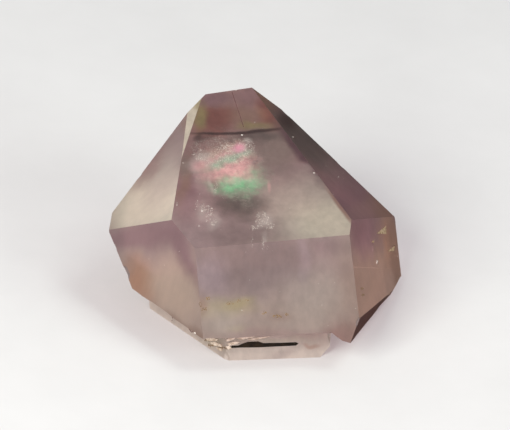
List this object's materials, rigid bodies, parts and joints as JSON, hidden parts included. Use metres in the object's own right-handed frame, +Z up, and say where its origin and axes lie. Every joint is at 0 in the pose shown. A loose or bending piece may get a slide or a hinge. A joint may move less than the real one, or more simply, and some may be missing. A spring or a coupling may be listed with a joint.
{
  "type": "amethyst scepter crystal",
  "caption": "Squat six-sided amethyst head on a short narrower quartz stem, leaning back and cut flat underneath so that it stands for display.",
  "frame": {"origin": "middle of the bounding box, on the flat cut that the crystal stands on", "axes": "+Z up from the cut, +Y the way the crystal leans back, and -Y its front face"},
  "size_m": [0.0442, 0.047, 0.0279],
  "materials": {
    "amethyst": "pale, cloudy amethyst with glossy natural crystal faces"
  },
  "bodies": {
    "root": {"amethyst_scepter": "amethyst"}
  },
  "joints": []
}
